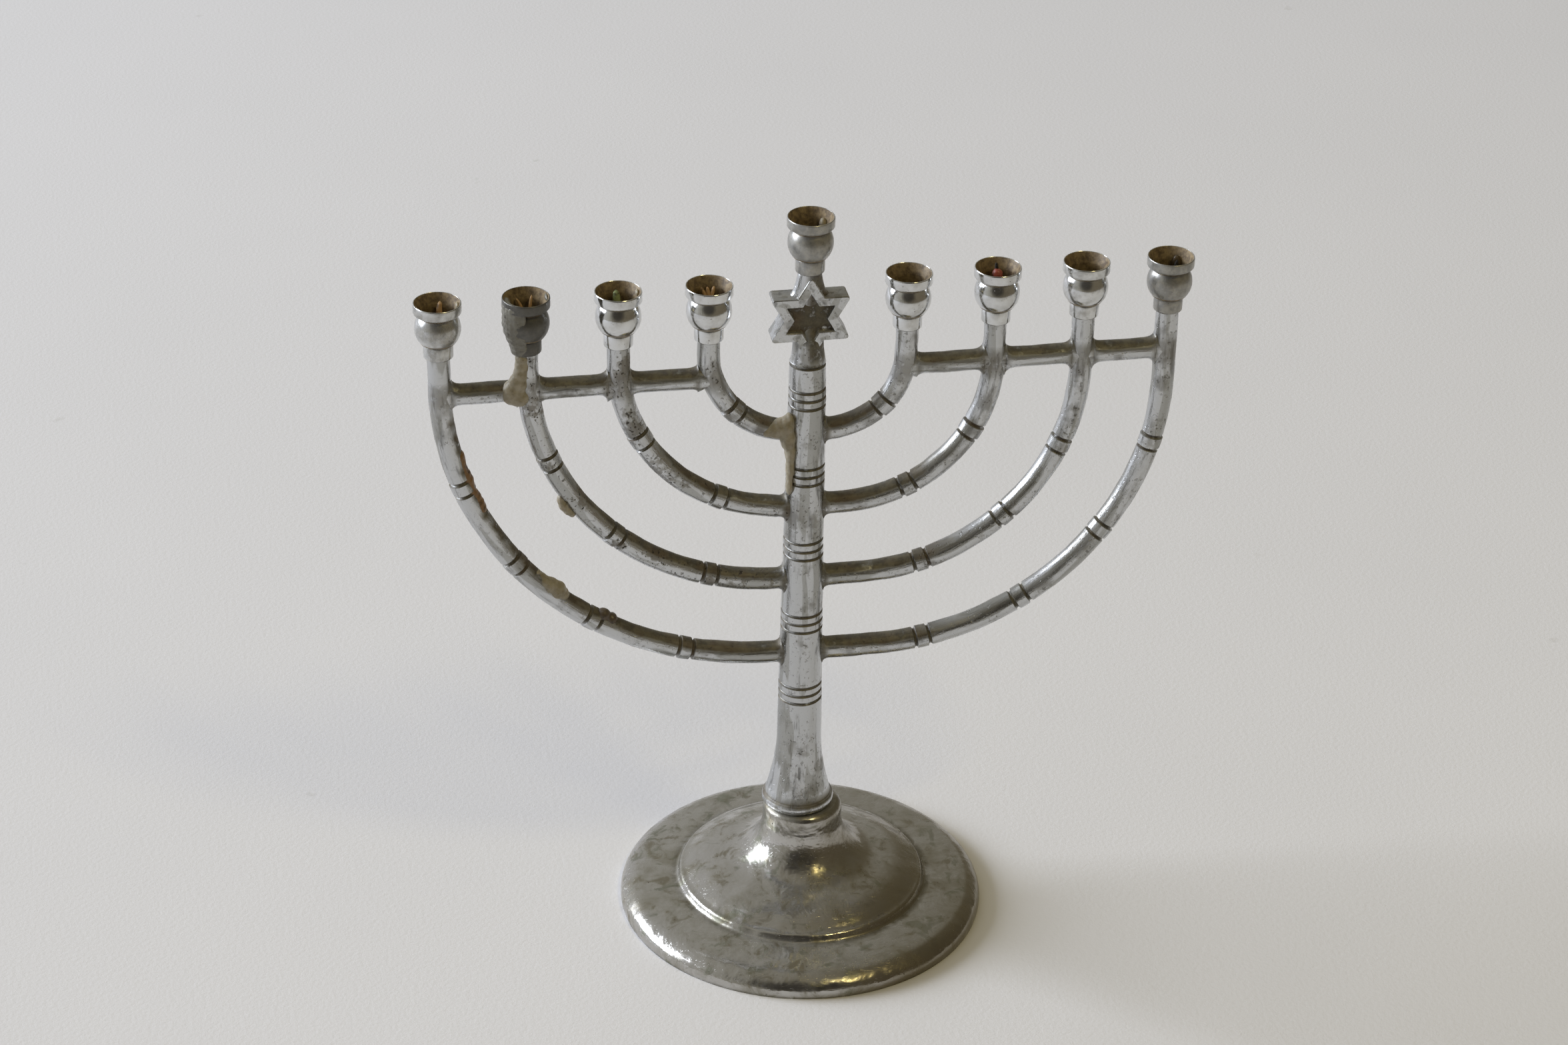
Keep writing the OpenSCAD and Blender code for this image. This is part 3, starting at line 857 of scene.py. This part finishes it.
class Wire:
    """A shader socket that takes part in sums: each operator adds the Math node it stands for."""

    def __init__(self, tree, socket=None):
        self.tree = tree
        self.socket = socket

    def node(self, kind, settings=None, sockets=None, out=0):
        """Adds a node, with its settings first and then its sockets' values or links."""
        made = self.tree.nodes.new("ShaderNode" + kind)
        for key, value in (settings or {}).items():
            if key == "stops":
                ramp = made.color_ramp.elements
                while len(ramp) < len(value):
                    ramp.new(0.5)
                for element, (place, colour) in zip(ramp, value):
                    element.position = place
                    element.color = (*colour, 1)
            else:
                setattr(made, key, value)
        for key, value in (sockets or {}).items():
            if isinstance(value, Wire):
                self.tree.links.new(value.socket, made.inputs[key])
            else:
                made.inputs[key].default_value = value
        return Wire(self.tree, made.outputs[out])

    def sum(self, operation, a, b=0.0):
        return self.node("Math", {"operation": operation}, {0: a, 1: b})

    def __add__(self, other):
        return self.sum("ADD", self, other)

    def __radd__(self, other):
        return self.sum("ADD", other, self)

    def __sub__(self, other):
        return self.sum("SUBTRACT", self, other)

    def __rsub__(self, other):
        return self.sum("SUBTRACT", other, self)

    def __mul__(self, other):
        return self.sum("MULTIPLY", self, other)

    def __rmul__(self, other):
        return self.sum("MULTIPLY", other, self)

    def top(self, other):
        return self.sum("MAXIMUM", self, other)

    def edge(self, low, high):
        """0 below low and 1 above high, or the other way round, with a smooth change between."""
        if low < high:
            smooth = {"interpolation_type": "SMOOTHSTEP"}
            return self.node("MapRange", smooth, {0: self, 1: low, 2: high})
        return 1 - self.edge(high, low)

    def mottle(self, vector, size, detail=3.0, rough=0.55, twist=0.0):
        """Cloudy noise whose patches are about size millimetres across."""
        sockets = {"Vector": vector, "Scale": 1 / size, "Detail": detail}
        sockets |= {"Roughness": rough, "Distortion": twist}
        return self.node("TexNoise", {}, sockets)

    def tint(self, amount, a, b):
        """Colour a where amount is 0, and b where it is 1."""
        a, b = ((*c, 1) if isinstance(c, tuple) else c for c in (a, b))
        return self.node("Mix", {"data_type": "RGBA"}, {0: amount, 6: a, 7: b}, out=2)

    def scaled(self, x, y=None, z=None):
        factors = (x, x if y is None else y, x if z is None else z)
        return self.node("VectorMath", {"operation": "MULTIPLY"}, {0: self, 1: factors})


def start_finish(name):
    """A new material, its shader, and a wire on which to build."""
    material = bpy.data.materials.new(name)
    material.use_nodes = True
    tree = material.node_tree
    shader = tree.nodes["Principled BSDF"]
    wire = Wire(tree)
    place = wire.node("TexCoord", out=3).scaled(1000)
    facing = wire.node("TexCoord", out=1)
    up = wire.node("SeparateXYZ", {}, {0: facing}, out=2)
    return material, shader, wire, place, up


def link(shader, wire, **sockets):
    names = {"colour": "Base Color", "rough": "Roughness", "metal": "Metallic", "normal": "Normal"}
    for key, value in sockets.items():
        wire.tree.links.new(value.socket, shader.inputs[names[key]])


def bump(wire, height, depth, strength=1.0, under=None):
    sockets = {"Height": height, "Distance": depth * MM, "Strength": strength}
    if under is not None:
        sockets["Normal"] = under
    return wire.node("Bump", {}, sockets)


def cast_chrome():
    """Worn plate on a casting: streaks along the arms, pits, and olive-brown grime on top."""
    material, shader, wire, place, up = start_finish("worn cast chrome")
    grain = wire.node("Attribute", {"attribute_name": "grain"}, out=1)
    soil = wire.node("Attribute", {"attribute_name": "soil"}, out=2)
    wear = wire.node("Attribute", {"attribute_name": "wear"}, out=2)
    grime = wire.node("Attribute", {"attribute_name": "grime"}, out=2)
    streak = wire.mottle(grain, 1.5, 4, 0.6)
    fine = wire.mottle(grain, 0.5, 3, 0.6)
    flat = wire.mottle(grain, 2.7, 1, 0.3)
    patch = wire.mottle(place, 7.0, 3)
    speck = wire.mottle(place, 0.75, 2, 0.5)
    worn = (patch * 0.55 + streak * 0.45).edge(0.50, 0.64)
    pits = speck.edge(0.615, 0.68) * (0.2 + patch.edge(0.40, 0.62) * 0.8) * (0.2 + wear * 0.8)
    rough_top = wire.mottle(place, 2.2, 4, 0.65)
    upward = (up + (patch - 0.5) * 0.4).edge(0.34, 0.6)
    top = upward * (rough_top * 0.5 + patch * 0.5).edge(0.22, 0.44) * grime
    blotch = (patch * 0.6 + rough_top * 0.4).edge(0.53, 0.6) * (wear * 0.85)
    dirt = (soil * rough_top.edge(0.27, 0.46)).top(top * 0.93).top(blotch * 0.7)
    metal_colour = wire.tint(worn, (0.56, 0.57, 0.58), (0.38, 0.385, 0.385))
    metal_colour = wire.tint(streak.edge(0.56, 0.72) * 0.65, metal_colour, (0.17, 0.17, 0.165))
    metal_colour = wire.tint(flat.edge(0.535, 0.575) * 0.5, metal_colour, (0.24, 0.235, 0.2))
    dirt_colour = wire.tint(rough_top.edge(0.35, 0.65), (0.05, 0.042, 0.026), (0.125, 0.108, 0.068))
    dirt_colour = wire.tint(patch.edge(0.45, 0.7) * 0.5, dirt_colour, (0.10, 0.062, 0.03))
    colour = wire.tint(dirt, metal_colour, dirt_colour)
    colour = wire.tint(pits, colour, (0.035, 0.028, 0.02))
    link(
        shader,
        wire,
        colour=colour,
        metal=1 - (dirt * 0.8).top(pits * 0.9),
        rough=(0.2 + worn * 0.12 + fine * 0.08) + dirt * 0.3 + pits * 0.3,
        normal=bump(
            wire,
            pits * -1.0 + dirt * 0.25 * rough_top,
            0.12,
            0.9,
            bump(wire, streak + fine * 0.35, 0.16, 0.8),
        ),
    )
    return material


def cup_chrome():
    """Bright plate on turned metal, browned inside, with a sooty film where the record is dull."""
    material, shader, wire, place, up = start_finish("turned cup chrome")
    bore = wire.node("Attribute", {"attribute_name": "bore"}, out=2)
    film = wire.node("Attribute", {"attribute_name": "film"}, out=2)
    cloud = wire.mottle(place, 3.2, 4, 0.6)
    speck = wire.mottle(place, 0.5, 3, 0.6)
    crust = wire.mottle(place, 1.3, 4, 0.65)
    dull = (film + cloud * 0.7 - 0.5).edge(0.0, 0.42) * (0.3 + film * 0.62)
    pits = speck.edge(0.66, 0.71) * cloud.edge(0.45, 0.6) * 0.8
    metal_colour = wire.tint(cloud.edge(0.4, 0.7), (0.70, 0.71, 0.715), (0.54, 0.54, 0.53))
    film_colour = wire.tint(crust.edge(0.35, 0.65), (0.09, 0.083, 0.066), (0.24, 0.22, 0.175))
    film_colour = wire.tint(film.edge(0.7, 1.0) * 0.8, film_colour, (0.035, 0.032, 0.026))
    brown = wire.tint(crust.edge(0.3, 0.7), (0.10, 0.068, 0.036), (0.30, 0.225, 0.125))
    inside = (bore * (0.75 + crust * 0.5)).edge(0.12, 0.55)
    colour = wire.tint(dull, metal_colour, film_colour)
    colour = wire.tint(pits, colour, (0.06, 0.045, 0.03))
    colour = wire.tint(inside, colour, brown)
    link(
        shader,
        wire,
        colour=colour,
        metal=1 - (dull * 0.6).top(inside * 0.93).top(pits),
        rough=(0.09 + cloud * 0.1) + dull * 0.25 + inside * 0.4 + pits * 0.3,
        normal=bump(wire, cloud + crust * 0.2 + inside * crust * 0.8 - pits, 0.05, 0.8),
    )
    return material


def foot_chrome():
    """Dulled plate on spun metal: brown stains, dents, hairlines, a greener crease, and painted shade
    that darkens its right side, away from the window.
    """
    material, shader, wire, place, up = start_finish("dull spun chrome")
    soil = wire.node("Attribute", {"attribute_name": "soil"}, out=2)
    cloud = wire.mottle(place, 15.0, 4, 0.6, 0.4)
    blot = wire.mottle(place, 4.5, 5, 0.65, 0.6)
    speck = wire.mottle(place, 0.9, 3, 0.6)
    dent = wire.mottle(place, 6.5, 1, 0.4)
    scratch = wire.mottle(place.scaled(0.12, 1.2, 1.2), 0.5, 2, 0.5, 0.3)
    stain = (cloud * 0.5 + blot * 0.5).edge(0.42, 0.62)
    pits = speck.edge(0.66, 0.71) * blot.edge(0.5, 0.62)
    green = (wire.mottle(place, 6.0, 4, 0.6, 0.8)).edge(0.56, 0.66)
    metal_colour = wire.tint(stain, (0.52, 0.51, 0.49), (0.33, 0.315, 0.27))
    metal_colour = wire.tint(green * 0.62, metal_colour, (0.19, 0.20, 0.14))
    metal_colour = wire.tint(blot.edge(0.55, 0.68) * 0.62, metal_colour, (0.19, 0.165, 0.11))
    # Painted shade: the metal colour darkens towards the right, away from the window, most on the dome
    # and walls and a little everywhere.
    across = wire.node("SeparateXYZ", {}, {0: place}, out=0)
    right_side_shade = across.edge(-8, 22) * up.edge(0.98, 0.9) * 0.85
    right_side_shade = right_side_shade.top(across.edge(-6, 26) * 0.3)
    metal_colour = wire.tint(right_side_shade, metal_colour, (0.215, 0.185, 0.125))
    dirt = soil * blot.edge(0.3, 0.5)
    worn_rough = (0.10 + stain * 0.13) + up.edge(0.93, 0.99) * 0.09 + blot * 0.07
    colour = wire.tint(dirt * 0.75, metal_colour, (0.09, 0.08, 0.05))
    colour = wire.tint(pits, colour, (0.06, 0.045, 0.03))
    link(
        shader,
        wire,
        colour=colour,
        metal=1 - (dirt * 0.5).top(pits * 0.8).top(stain * 0.2),
        rough=worn_rough + green * 0.08 + dirt * 0.25 + pits * 0.3,
        normal=bump(
            wire,
            speck * 0.12 + blot * 0.5 + scratch.edge(0.62, 0.68) * -0.3 - pits,
            0.05,
            0.7,
            bump(wire, dent + cloud * 1.2, 0.6, 0.75),
        ),
    )
    return material


def screw_steel():
    material, shader, wire, place, up = start_finish("dull zinc steel")
    cloud = wire.mottle(place, 2.0, 4, 0.6)
    rust = wire.mottle(place, 1.1, 5, 0.7).edge(0.55, 0.68)
    colour = wire.tint(cloud, (0.42, 0.41, 0.39), (0.28, 0.27, 0.25))
    colour = wire.tint(rust * 0.8, colour, (0.13, 0.055, 0.025))
    link(
        shader,
        wire,
        colour=colour,
        metal=1 - rust * 0.8,
        rough=0.32 + cloud * 0.15 + rust * 0.35,
        normal=bump(wire, cloud + rust, 0.06),
    )
    return material


def candle_wax():
    """Old dirty wax, yellow-brown where it is thick."""
    material, shader, wire, place, up = start_finish("old candle wax")
    cloud = wire.mottle(place, 1.8, 4, 0.6)
    dirt = wire.mottle(place, 0.9, 5, 0.7).edge(0.6, 0.72)
    colour = wire.tint(cloud.edge(0.3, 0.7), (0.36, 0.32, 0.24), (0.25, 0.215, 0.145))
    colour = wire.tint(dirt * 0.45, colour, (0.13, 0.10, 0.06))
    skin = bump(wire, cloud + dirt * 0.3, 0.12)
    link(shader, wire, colour=colour, rough=0.38 + cloud * 0.2, normal=skin)
    shader.inputs["Subsurface Weight"].default_value = 0.25
    shader.inputs["Subsurface Radius"].default_value = (0.0015, 0.001, 0.0005)
    shader.inputs["Subsurface Scale"].default_value = 1.0
    return material


def coloured_wax(name, colour_a, colour_b):
    material, shader, wire, place, up = start_finish(name)
    cloud = wire.mottle(place, 1.2, 4, 0.6)
    soot = wire.mottle(place, 1.6, 4, 0.6).edge(0.52, 0.7)
    colour = wire.tint(cloud, colour_a, colour_b)
    colour = wire.tint(soot * 0.75, colour, (0.03, 0.022, 0.016))
    link(shader, wire, colour=colour, rough=0.36 + soot * 0.3, normal=bump(wire, cloud, 0.08))
    return material


def burnt_wick():
    material, shader, wire, place, up = start_finish("charred wick")
    ash = wire.mottle(place, 0.4, 4, 0.7)
    colour = wire.tint(ash.edge(0.45, 0.75), (0.012, 0.010, 0.009), (0.075, 0.06, 0.045))
    link(shader, wire, colour=colour, rough=0.75 + ash * 0.2, normal=bump(wire, ash, 0.15))
    return material


FINISH = {
    "cast_chrome": cast_chrome(),
    "cup_chrome": cup_chrome(),
    "foot_chrome": foot_chrome(),
    "screw_steel": screw_steel(),
    "candle_wax": candle_wax(),
    "burnt_wick": burnt_wick(),
    "pink_wax": coloured_wax("pink wax stub", (0.42, 0.10, 0.07), (0.25, 0.06, 0.04)),
    "green_wax": coloured_wax("green wax stub", (0.30, 0.36, 0.16), (0.18, 0.22, 0.09)),
    "straw_wick": coloured_wax("straw wick", (0.52, 0.34, 0.17), (0.34, 0.20, 0.09)),
    "amber_wax": coloured_wax("amber wax film", (0.25, 0.13, 0.04), (0.15, 0.085, 0.03)),
    "scorched_wax": coloured_wax("scorched wax", (0.07, 0.05, 0.032), (0.12, 0.09, 0.055)),
    "smoked_wax": coloured_wax("smoked wax", (0.13, 0.122, 0.10), (0.22, 0.21, 0.172)),
}


# ---------------------------------------------------------------- the room


def lay_paper():
    """A sheet of white paper, with a little tooth and a few faint marks."""
    fresh()
    bpy.ops.mesh.primitive_plane_add(size=3.2, location=(0, 0.15, 0))
    paper = bpy.context.object
    paper.name = "paper"
    bpy.ops.object.transform_apply(location=True)
    material, shader, wire, place, up = start_finish("white paper")
    tooth = wire.mottle(place, 1.2, 4, 0.6)
    cloud = wire.mottle(place, 90.0, 3)
    mark_spot = wire.mottle(place, 14.0, 2).edge(0.74, 0.8)
    colour = wire.tint(cloud, (0.80, 0.79, 0.80), (0.765, 0.757, 0.767))
    colour = wire.tint(mark_spot * 0.3, colour, (0.55, 0.54, 0.5))
    link(shader, wire, colour=colour, normal=bump(wire, tooth, 0.12, 0.6))
    shader.inputs["Roughness"].default_value = 0.85
    shader.inputs["Specular IOR Level"].default_value = 0.2
    paper.data.materials.append(material)


def light(name, direction, distance, size, power, colour):
    """A soft lamp that faces the middle of the menorah and isn't seen by the camera itself."""
    aim = Vector((0, 0, 0.08))
    place = aim + Vector(direction).normalized() * distance
    fresh()
    bpy.ops.object.light_add(type="AREA", location=place)
    lamp = bpy.context.object
    lamp.name = name
    lamp.rotation_euler = (aim - place).to_track_quat("-Z", "Y").to_euler()
    lamp.data.shape = "RECTANGLE"
    lamp.data.size, lamp.data.size_y = size
    lamp.data.energy = power
    lamp.data.color = colour
    lamp.visible_camera = False
    return lamp


def light_room():
    light("window", (-0.86, 0.33, 0.385), 4.0, (2.6, 1.7), 200, (0.85, 0.90, 1.0))
    light("yellow_lamp", (0.29, -0.46, 0.81), 1.5, (0.26, 0.26), 3.0, (1.0, 0.84, 0.40))
    world = bpy.data.worlds.new("room")
    bpy.context.scene.world = world
    world.use_nodes = True
    wire = Wire(world.node_tree)
    back = world.node_tree.nodes["Background"]
    away = wire.node("TexCoord", out=0)

    def toward(direction):
        return wire.node("VectorMath", {"operation": "DOT_PRODUCT"}, {0: away, 1: direction}, out=1)

    side = toward((-0.40, 0.30, 0.0)) + 0.5
    walls = wire.node(
        "ValToRGB",
        {
            "stops": [
                (0.0, (0.15, 0.125, 0.085)),
                (0.22, (0.17, 0.15, 0.105)),
                (0.45, (0.25, 0.23, 0.18)),
                (0.60, (0.33, 0.315, 0.27)),
                (0.72, (0.41, 0.40, 0.36)),
                (1.0, (0.60, 0.60, 0.60)),
            ]
        },
        {0: side},
    )
    person = toward((-0.165, -0.838, 0.52)).edge(0.74, 0.96)
    dim = wire.tint(person * 0.85, walls, (0.03, 0.027, 0.025))
    seen = wire.node("LightPath", out=0)
    shown = wire.tint(seen, dim, (0.62, 0.62, 0.62))
    world.node_tree.links.new(shown.socket, back.inputs["Color"])


def set_camera():
    """Looks down at the menorah from the front, a little to its left."""
    swing, dip, lean = -0.1882, 0.5226, 0.0212
    turned = Matrix.Rotation(swing, 4, "Z") @ Matrix.Rotation(pi / 2 - dip, 4, "X")
    turned @= Matrix.Rotation(lean, 4, "Z")
    fresh()
    bpy.ops.object.camera_add(location=(-0.15667, -0.79755, 0.57455), rotation=turned.to_euler())
    camera = bpy.context.object
    camera.data.lens = 91.18
    camera.data.sensor_width = 36.0
    bpy.context.scene.camera = camera
    bpy.context.scene.view_settings.view_transform = "Standard"


# ---------------------------------------------------------------- putting it together


def finish_piece(piece, slot, body="candelabrum", finish=None):
    piece.data.materials.clear()
    piece.data.materials.append(FINISH[finish or slot])
    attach(piece, body)


body_casting = casting()
finish_piece(body_casting, "cast_chrome")
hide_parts("candelabrum")
foot = spun_foot()
finish_piece(foot, "foot_chrome")
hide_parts("foot")
cups()
old_wax()
for node in ("foot_screw", "foot_washer"):
    carried = frame["nodes"][node]
    carried.data.materials.clear()
    carried.data.materials.append(FINISH["screw_steel"])

lay_paper()
light_room()
set_camera()
